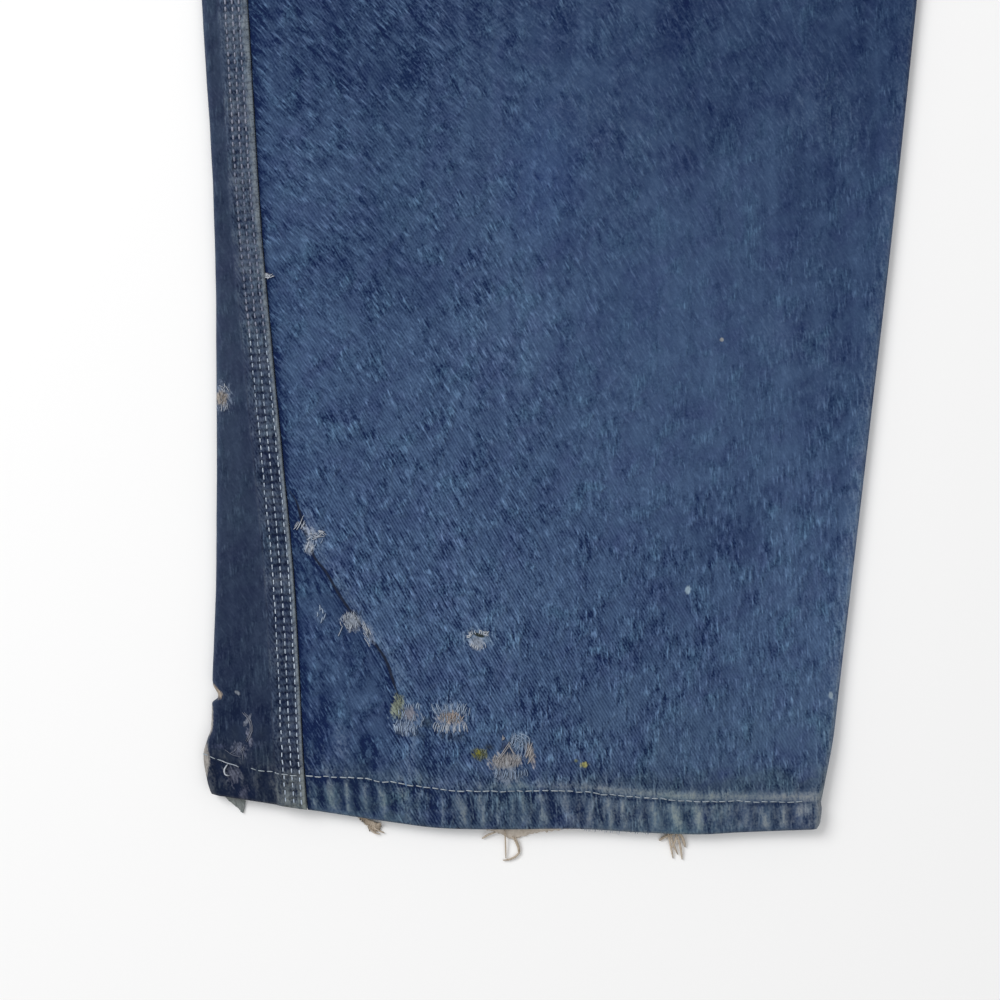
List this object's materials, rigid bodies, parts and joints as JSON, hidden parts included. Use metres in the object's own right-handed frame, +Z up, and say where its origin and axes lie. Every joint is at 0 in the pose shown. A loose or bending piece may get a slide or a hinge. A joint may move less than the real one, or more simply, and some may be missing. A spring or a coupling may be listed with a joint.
{
  "type": "denim bib-and-brace dungarees",
  "caption": "Worn blue denim bib-and-brace dungarees laid flat on their back, with felled outseams, stitched hems, folded straps and metal buckles.",
  "frame": {"origin": "under the middle of the garment's bounding box, on the surface that it lies on", "axes": "+Z up out of the front of the garment, +Y from the hems towards the bib and straps, +X towards the wearer's left leg"},
  "size_m": [0.7024, 1.6388, 0.0103],
  "materials": {
    "denim": "worn indigo twill, faded at seams and hems",
    "metal": "dull, tarnished"
  },
  "bodies": {
    "root": {"front_leg_right": "denim", "front_leg_left": "denim", "back_leg_right": "denim", "back_leg_left": "denim", "waistband_front": "denim", "waistband_back": "denim", "bib_front": "denim", "bib_back": "denim", "strap_right": "denim", "strap_left": "denim", "slider_right": "metal", "slider_left": "metal", "buckle_right": "metal", "buckle_left": "metal", "button_bib_right": "metal", "button_bib_left": "metal", "button_waist_right": "metal", "button_waist_left": "metal", "button_hip_right": "metal", "button_hip_left": "metal"}
  },
  "joints": []
}
